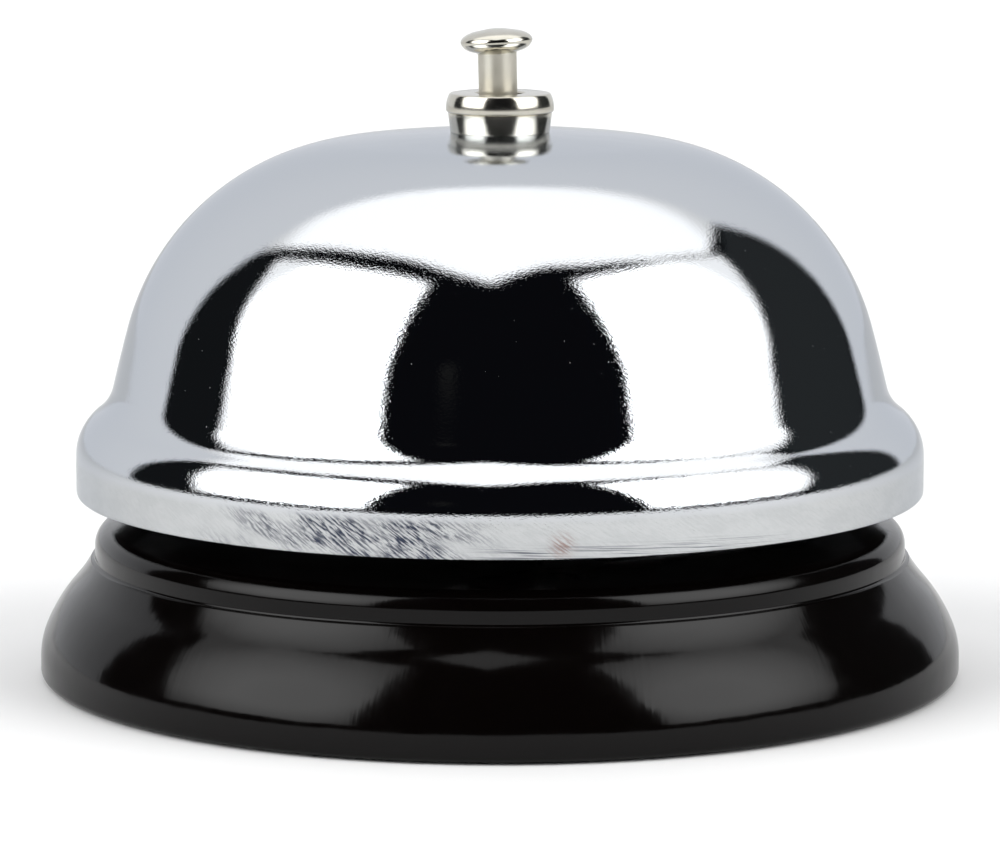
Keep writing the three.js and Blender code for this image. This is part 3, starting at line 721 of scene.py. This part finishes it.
def make_feet():
    """Four push-in feet: a shallow dimple below, a head, a neck through the flange and a barb above it."""
    head = 2.3
    head_edge = 0.35
    dimple = 0.18
    neck = 1.2
    barb = 1.9
    flange = 1.7
    neck_low = flange - 0.05
    neck_high = flange + SHEET + 0.05
    for number in range(1, 5):
        node = f"rubber_foot_{number}"
        x, y, z = middle_of(node)
        top = top_of(node)
        section = [(0, dimple), (0.55, dimple), (0.75, 0)]
        section += round_corner((head - head_edge, head_edge), head_edge, -90, 0, 6)
        section += [
            (head, 1.2),
            (head - 0.12, neck_low - 0.05),
            (head - 0.25, neck_low),
            (neck, neck_low),
            (neck, neck_high),
            (barb - 0.1, neck_high),
            (barb, neck_high + 0.15),
            (barb - 0.25, neck_high + 0.55),
            (neck / 2 + 0.1, top - 0.08),
            (neck / 2 - 0.1, top),
            (0, top),
        ]
        foot = turn(f"foot_moulded_{number}", section, rubber, 48, (x, y), closed=False)
        finish_part(foot, "root", node)


def make_washers():
    bore = 3.25
    washers = [
        ("base_washer_pressed", "base_washer", zinc_steel, "zinc_steel"),
        ("seat_washer_pressed", "dome_seat_washer", zinc_steel, "zinc_steel"),
        ("cushion_washer_punched", "dome_cushion_washer", fibre, "fibre"),
    ]
    for name, node, material, slot in washers:
        section = softened_ring(bore, radius_of(node), bottom_of(node), top_of(node))
        finish_part(turn(name, section, material, 96), "root", node)


def make_lock_washer():
    """A split spring washer: one turn of square wire, pressed almost flat, with its ends a little apart."""
    bottom = bottom_of("lock_washer")
    top = top_of("lock_washer")
    inner = 3.25
    outer = 5
    rise = 0.12
    half_width = (outer - inner) / 2
    half_height = (top - bottom - rise) / 2
    edge = 0.12
    section = [
        (-half_width + edge, -half_height),
        (half_width - edge, -half_height),
        (half_width, -half_height + edge),
        (half_width, half_height - edge),
        (half_width - edge, half_height),
        (-half_width + edge, half_height),
        (-half_width, half_height - edge),
        (-half_width, -half_height + edge),
    ]
    path = []
    frames = []
    steps = 80
    gap_degrees = 8
    for step in range(steps + 1):
        angle = math.radians(gap_degrees / 2 + (360 - gap_degrees) * step / steps)
        outward = Vector((math.cos(angle), math.sin(angle), 0))
        height = bottom + half_height + rise * step / steps
        path.append(outward * (inner + half_width) + Vector((0, 0, height)))
        frames.append((outward, Vector((0, 0, 1))))
    washer = sweep("lock_washer_split", path, frames, section, spring_steel)
    finish_part(washer, "root", "lock_washer")


def make_nut():
    """A hexagon nut, chamfered top and bottom, with a threaded bore."""
    bottom = bottom_of("base_nut")
    top = top_of("base_nut")
    low, high = node_box("base_nut")
    half_flats = (high[1] - low[1]) / 2
    chamfer_start = half_flats - 0.15
    chamfer_slope = math.tan(math.radians(30))
    bore = 3.4
    crest = 3.1
    pitch = 0.8
    countersink = 0.35
    corner_step = math.pi / 3

    def side(height, angle):
        return half_flats / math.cos(angle % corner_step - corner_step / 2)

    def lower_edge(angle):
        return bottom + (side(0, angle) - chamfer_start) * chamfer_slope

    def upper_edge(angle):
        return top - (side(0, angle) - chamfer_start) * chamfer_slope

    heights, thread = threaded_rows(bore, crest, bottom + countersink, top - countersink, pitch)
    section = [(chamfer_start, bottom), (side, lower_edge), (side, upper_edge), (chamfer_start, top)]
    section += [(bore, top)] + [(thread, height) for height in heights[::-1]] + [(bore, bottom)]
    nut = turn_by_rules("base_nut_hexagon", section, zinc_steel, 144, 22, corner_step / 2)
    finish_part(nut, "root", "base_nut")


def make_post():
    """The hollow post: threaded ends, a flange on the bracket, and the lever's slot in its side."""
    bottom = bottom_of("center_post")
    top = top_of("center_post")
    minor = 2.65
    major = 3.0
    pitch = 0.8
    low_thread_end = 15.2
    body = 4.2
    flange = 5.8
    flange_bottom = 16.7
    flange_top = 18.2
    shoulder = 46.6
    edge = 0.15
    bore = 2.1
    ledge_bore = 1.3
    ledge_top = 37.4
    ledge_bottom = 36.0
    low_heights, low_thread = threaded_rows(minor, major, bottom + 0.3, low_thread_end, pitch)
    high_heights, high_thread = threaded_rows(minor, major, shoulder + 0.6, top - 0.3, pitch)
    section = [(bore + 0.1, bottom), (minor - edge, bottom)]
    section += [(low_thread, height) for height in low_heights]
    section += [
        (major, low_thread_end + 0.1),
        (major, flange_bottom),
        (flange - edge, flange_bottom),
        (flange, flange_bottom + edge),
        (flange, flange_top - edge),
        (flange - edge, flange_top),
        (body + edge, flange_top),
        (body, flange_top + edge),
        (body, shoulder - 0.2),
        (body - 0.2, shoulder),
        (minor, shoulder),
    ]
    section += [(high_thread, height) for height in high_heights]
    section += [
        (minor - edge, top),
        (bore + 0.1, top),
        (bore, top - 0.1),
        (bore, ledge_top),
        (ledge_bore, ledge_top),
        (ledge_bore, ledge_bottom),
        (bore, ledge_bottom),
        (bore, bottom + 0.1),
    ]
    post = turn_by_rules("center_post_turned", section, zinc_steel)

    slot_middle = 31.9
    slot_width = 2.8
    slot_height = 4.85
    slot_reach = 8

    def slot_corner(corner):
        along = slot_reach if corner.x > 0 else 0
        return Vector((along, corner.y * slot_width / 2, slot_middle + corner.z * slot_height / 2))

    cut_away(post, [make_block("slot_cutter", slot_corner)], 38)
    finish_part(post, "root", "center_post")


# ------------------------------------------------------------------ the bracket and what it carries

def make_bracket():
    """The bracket, and the two round-headed rivets that hold it on the deck."""
    bracket = softened_copy("bracket_stamped", "striker_bracket", zinc_steel, 0.15)
    finish_part(bracket, "root", "striker_bracket")
    head = 2
    height = 0.9
    shank = 1.2
    steps = 8
    for number in (1, 2):
        node = f"bracket_rivet_{number}"
        x, y, z = middle_of(node)
        low = bottom_of(node)
        high = top_of(node)
        section = [(0, low)]
        for step in range(1, steps + 1):
            angle = math.radians(90 * step / steps)
            section.append((head * math.sin(angle), low + height * (1 - math.cos(angle))))
        section += [(shank, low + height), (shank, high - height), (head, high - height)]
        for step in range(1, steps):
            angle = math.radians(90 * step / steps)
            section.append((head * math.cos(angle), high - height + height * math.sin(angle)))
        section.append((0, high))
        rivet = turn(f"bracket_rivet_headed_{number}", section, brass, 48, (x, y), closed=False)
        finish_part(rivet, "root", node)


def make_pin():
    """The pivot pin along Y, with a domed head behind and a groove in front, its clip and its two spacers."""
    low, high = node_box("pivot_pin")
    x, y, z = middle_of("pivot_pin")
    front = low[1]
    back = high[1]
    pin = 1
    groove = 0.75
    groove_front = -6.15
    groove_back = -5.45
    head = 1.8
    head_front = 5.45
    dome_start = head_front + 0.55
    dome_steps = 6
    section = [
        (0, front),
        (pin - 0.2, front),
        (pin, front + 0.2),
        (pin, groove_front),
        (groove, groove_front),
        (groove, groove_back),
        (pin, groove_back),
        (pin, head_front),
        (head - 0.1, head_front),
        (head, head_front + 0.1),
        (head, dome_start),
    ]
    for step in range(1, dome_steps):
        angle = math.radians(90 * step / dome_steps)
        section.append((head * math.cos(angle), dome_start + (back - dome_start) * math.sin(angle)))
    section.append((0, back))
    pivot = turn("pivot_pin_headed", section, zinc_steel, 48, closed=False)
    lay_along_y(pivot, x, z)
    finish_part(pivot, "root", "pivot_pin")
    clip = softened_copy("pin_clip_stamped", "pivot_pin_clip", spring_steel, 0.08)
    finish_part(clip, "root", "pivot_pin_clip")
    spacer_bore = 1.25
    spacer_radius = 2.1
    for number in (1, 2):
        node = f"pivot_spacer_{number}"
        low, high = node_box(node)
        section = softened_ring(spacer_bore, spacer_radius, low[1], high[1], 0.12)
        spacer = turn(f"pivot_spacer_moulded_{number}", section, nylon, 48)
        lay_along_y(spacer, x, z)
        finish_part(spacer, "root", node)


def make_striker():
    """The lever, and the rivet and the hammer at its end."""
    lever = softened_copy("lever_stamped", "striker_lever", zinc_steel, 0.18)
    finish_part(lever, "striker", "striker_lever")
    low, high = node_box("hammer_rivet")
    x, y, z = middle_of("hammer_rivet")
    front = low[1]
    back = high[1]
    shank = 0.8
    edge = 0.15
    section = [
        (0, front),
        (shank - edge, front),
        (shank, front + edge),
        (shank, back - edge),
        (shank - edge, back),
        (0, back),
    ]
    rivet = turn("hammer_rivet_turned", section, zinc_steel, 32, closed=False)
    lay_along_y(rivet, x, z)
    finish_part(rivet, "striker", "hammer_rivet")
    make_hammer(x, z)


def make_hammer(x, z):
    """A steel ball with a slot for the lever's eye and a hole for the rivet."""
    ball = 3.3
    steps = 40
    section = [(0, -ball)]
    for step in range(1, steps):
        angle = math.radians(-90 + 180 * step / steps)
        section.append((ball * math.cos(angle), ball * math.sin(angle)))
    section.append((0, ball))
    hammer = turn("hammer_ball", section, zinc_steel, 80, closed=False)
    lay_along_y(hammer, x, z)

    lever_drop = math.radians(32.4)
    arm = Vector((math.cos(lever_drop), 0, -math.sin(lever_drop)))
    rise = Vector((math.sin(lever_drop), 0, math.cos(lever_drop)))
    centre = Vector((x, 0, z))
    slot_end = 2.3
    half_slot = 1.3
    past_ball = 2 * ball

    def slot_corner(corner):
        along = slot_end if corner.x > 0 else -past_ball
        return centre + arm * along + rise * (past_ball * corner.z) + Vector((0, half_slot * corner.y, 0))

    slot = make_block("hammer_slot", slot_corner)
    hole_radius = 0.95
    hole_reach = 5
    hole_section = [(0, -hole_reach), (hole_radius, -hole_reach), (hole_radius, hole_reach), (0, hole_reach)]
    hole = turn("hammer_hole", hole_section, zinc_steel, 32, closed=False)
    lay_along_y(hole, x, z)
    cut_away(hammer, [slot, hole], 28)
    finish_part(hammer, "striker", "hammer_head")


# ------------------------------------------------------------------ the rod and its spring

def make_rod():
    """The push rod with its rounded tip, and the clip in its groove."""
    low = bottom_of("push_rod")
    high = top_of("push_rod")
    rod = 1
    tip_side = rod - 0.03
    groove = 0.75
    groove_bottom = 35.2
    groove_top = 35.9
    section = [(0, low)]
    section += round_corner((0, low + rod), rod, -80, -45, 4)
    section += [
        (tip_side, groove_bottom - 0.12),
        (tip_side, groove_bottom),
        (groove, groove_bottom),
        (groove, groove_top),
        (rod, groove_top),
        (rod, high - 0.2),
        (rod - 0.2, high),
        (0, high),
    ]
    piece = turn("push_rod_turned", section, zinc_steel, 48, closed=False)
    finish_part(piece, "plunger", "push_rod")
    clip = softened_copy("rod_clip_stamped", "push_rod_clip", spring_steel, 0.08)
    finish_part(clip, "plunger", "push_rod_clip")


def make_spring():
    """A coil spring whose end coils lie flat, between the post's ledge and the button's stem."""
    ledge = 37.4
    stem = bottom_of("push_button")
    wire = 0.2
    wire_sides = 12
    mean = 1.55
    flat_turns = 1.0
    open_turns = 7
    clearance = 0.02
    low = ledge + wire + clearance
    high = stem - wire - clearance
    rise = 2 * wire
    turns = open_turns + 2 * flat_turns
    steps_per_turn = 28
    steps = round(turns * steps_per_turn)
    path = []
    frames = []
    for step in range(steps + 1):
        turned = turns * step / steps
        if turned < flat_turns:
            height = low + rise * turned
        elif turned > turns - flat_turns:
            height = high - rise * (turns - turned)
        else:
            part = (turned - flat_turns) / open_turns
            height = low + rise + (high - low - 2 * rise) * part
        angle = 2 * math.pi * turned
        outward = Vector((math.cos(angle), math.sin(angle), 0))
        path.append(outward * mean + Vector((0, 0, height)))
        frames.append((outward, Vector((0, 0, 1))))
    corners = [2 * math.pi * side / wire_sides for side in range(wire_sides)]
    section = [(wire * math.cos(corner), wire * math.sin(corner)) for corner in corners]
    spring = sweep("return_spring_coil", path, frames, section, spring_steel)
    finish_part(spring, "root", "return_spring")
    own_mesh(spring)


make_dome()
make_base()
make_feet()
make_washers()
make_lock_washer()
make_nut()
make_post()
make_bracket()
make_pin()
make_striker()
make_collar()
make_button()
make_rod()
make_spring()


# ------------------------------------------------------------------ the studio

PANEL_DISTANCE = 10.0
MIDDLE = Vector((0, 0, 0.03))
WHITE = (1.0, 1.0, 1.0)


def stand_in_studio(name, mesh):
    """Puts a mesh in the scene as a part of the studio and not of the bell."""
    stand = bpy.data.objects.new(name, mesh)
    bpy.context.scene.collection.objects.link(stand)
    return stand


def direction(azimuth, elevation):
    """Azimuth 0 points at the camera (-Y) and +90 to +X, both angles in degrees."""
    a, e = math.radians(azimuth), math.radians(elevation)
    return Vector((math.cos(e) * math.sin(a), -math.cos(e) * math.cos(a), math.sin(e)))


def light_panel(name, corners, colour, strength, hot_spot=None, fade=(0, 90), edge_strength=0.0):
    """A glowing panel whose corners lie in the given directions from the bell.

    With a hot spot, the glow fades to the edge strength over the given angles from it, in degrees.
    """
    mesh = bpy.data.meshes.new(name)
    vertices = [MIDDLE + direction(*corner) * PANEL_DISTANCE for corner in corners]
    mesh.from_pydata(vertices, [], [tuple(range(len(vertices)))])
    m = Material(name)
    m.tree.nodes.remove(m.shader)
    glow = m.add("ShaderNodeEmission", {"Color": colour + (1,), "Strength": strength})
    m.set(m.tree.nodes["Material Output"], "Surface", glow.outputs["Emission"])
    if hot_spot:
        place = m.add("ShaderNodeTexCoord").outputs["Object"]
        away = m.add("ShaderNodeVectorMath", {0: place, 1: MIDDLE}, operation="SUBTRACT").outputs["Vector"]
        toward = m.add("ShaderNodeVectorMath", {0: away}, operation="NORMALIZE").outputs["Vector"]
        spot = direction(*hot_spot)
        compare = m.add("ShaderNodeVectorMath", {0: toward, 1: spot}, operation="DOT_PRODUCT")
        near, far = (math.cos(math.radians(angle)) for angle in fade)
        m.set(glow, "Strength", m.ramp(compare.outputs["Value"], far, near, edge_strength, strength))
    mesh.materials.append(m.material)
    stand_in_studio(name, mesh).visible_camera = False


# Corners are (azimuth, elevation) in degrees. The overhead softbox and the rear wall share an edge.
shared_edge = [(133, 44), (160, 53), (180, 56), (-150, 55), (-130, 48), (-120, 40)]
overhead_corners = [(-5, 64.3), (30, 71.5), (60, 67), (90, 57), (110, 47)] + shared_edge
overhead_corners += [(-105, 55), (-90, 62), (-60, 69), (-30, 68)]
rear_corners = [(-116, -6), (-117, 8), (-120, 27)] + shared_edge[::-1] + [(135, 10), (136, -6)]
left_corners = [(-36, 5.5), (-36, 30), (-37, 61.5), (-75, 58), (-110, 43.5), (-104, 38), (-91, 15)]
left_corners += [(-89, 5.5)]
right_corners = [(40.3, 5.5), (39.8, 30), (39.5, 62.5), (75, 59), (95, 53), (112, 44), (90, 12), (88, 5.5)]
left_gap_corners = [(-90, -6), (-92, 15), (-105, 38), (-111, 43), (-118, 40), (-115, -6)]
right_gap_corners = [(89, -6), (92, 12), (112, 43), (132, 43), (134, -6)]
glimmer_corners = [(-18.5, 21), (-14, 21), (-14, 27), (-18.5, 27)]

light_panel("left_softbox", left_corners, WHITE, 4.4, (-60, 31), (12, 34), 1.25)
light_panel("right_softbox", right_corners, WHITE, 4.4, (60, 31), (12, 34), 1.25)
light_panel("overhead_softbox", overhead_corners, WHITE, 1.5, (0, 65), (56.5, 62), 0.9)
light_panel("rear_wall", rear_corners, (0.95, 0.965, 1.0), 0.85)
light_panel("right_gap", right_gap_corners, (0.85, 0.95, 1.0), 0.028)
light_panel("left_gap", left_gap_corners, (0.8, 0.9, 1.0), 0.01)
light_panel("glimmer", glimmer_corners, WHITE, 0.012)


def lay_floor(name, near_albedo, far_albedo, height=0.0):
    """A white table whose albedo changes from near the bell to well behind it. On the copy that only the
    mirrors see, the greyer albedo and its darkening behind the bell are painted shade.
    """
    reach = 4
    mesh = bpy.data.meshes.new(name)
    corners = [(-reach, -reach), (reach, -reach), (reach, reach), (-reach, reach)]
    mesh.from_pydata([(x, y, height) for x, y in corners], [], [(0, 1, 2, 3)])
    m = Material(name, Roughness=0.9)
    across, away, up = m.split(m.add("ShaderNodeTexCoord").outputs["Object"])
    # darker behind the bell; on the mirrored copy this is painted shade
    behind = m.ramp(away, -0.1, 0.4, 0.0, 1.0)
    m.set(m.shader, "Base Color", m.mix_color(behind, (near_albedo,) * 3 + (1,), (far_albedo,) * 3 + (1,)))
    mesh.materials.append(m.material)
    return stand_in_studio(name, mesh)


# The table that the camera sees is white all over. The bell's mirrors see a copy with painted shade, greyer
# than it and greyer still behind the bell.
table = lay_floor("table", 0.84, 0.84)
table.visible_glossy = False
# painted shade: this copy is seen only in the mirrors and is greyer than the white table
mirrored_table = lay_floor("mirrored_table", 0.7, 0.5, 0.00002)
mirrored_table.visible_camera = False
mirrored_table.visible_diffuse = False
mirrored_table.visible_shadow = False


def make_air():
    """The camera sees a white backdrop, and the bell's mirrors see nearly black air between the panels."""
    world = bpy.data.worlds.new("studio")
    bpy.context.scene.world = world
    world.use_nodes = True
    nodes = world.node_tree.nodes
    links = world.node_tree.links
    air = nodes["Background"]
    air.inputs["Color"].default_value = (0.0035, 0.0036, 0.0048, 1)
    backdrop = nodes.new("ShaderNodeBackground")
    backdrop.inputs["Color"].default_value = (1, 1, 1, 1)
    rays = nodes.new("ShaderNodeLightPath")
    either = nodes.new("ShaderNodeMixShader")
    links.new(rays.outputs["Is Camera Ray"], either.inputs["Fac"])
    links.new(air.outputs["Background"], either.inputs[1])
    links.new(backdrop.outputs["Background"], either.inputs[2])
    links.new(either.outputs["Shader"], nodes["World Output"].inputs["Surface"])


def place_camera():
    """A long lens in front of the bell, a little above it and tilted down."""
    distance = 0.47419
    height = 0.09424
    tilt_down = 8.545
    lens = bpy.data.cameras.new("camera")
    lens.sensor_width = 36
    lens.lens = 186.9
    lens.clip_start = 0.01
    camera = bpy.data.objects.new("camera", lens)
    camera.location = (0, -distance, height)
    camera.rotation_euler = (math.radians(90 - tilt_down), 0, 0)
    bpy.context.scene.collection.objects.link(camera)
    bpy.context.scene.camera = camera


make_air()
place_camera()
bpy.context.scene.view_settings.view_transform = "Standard"
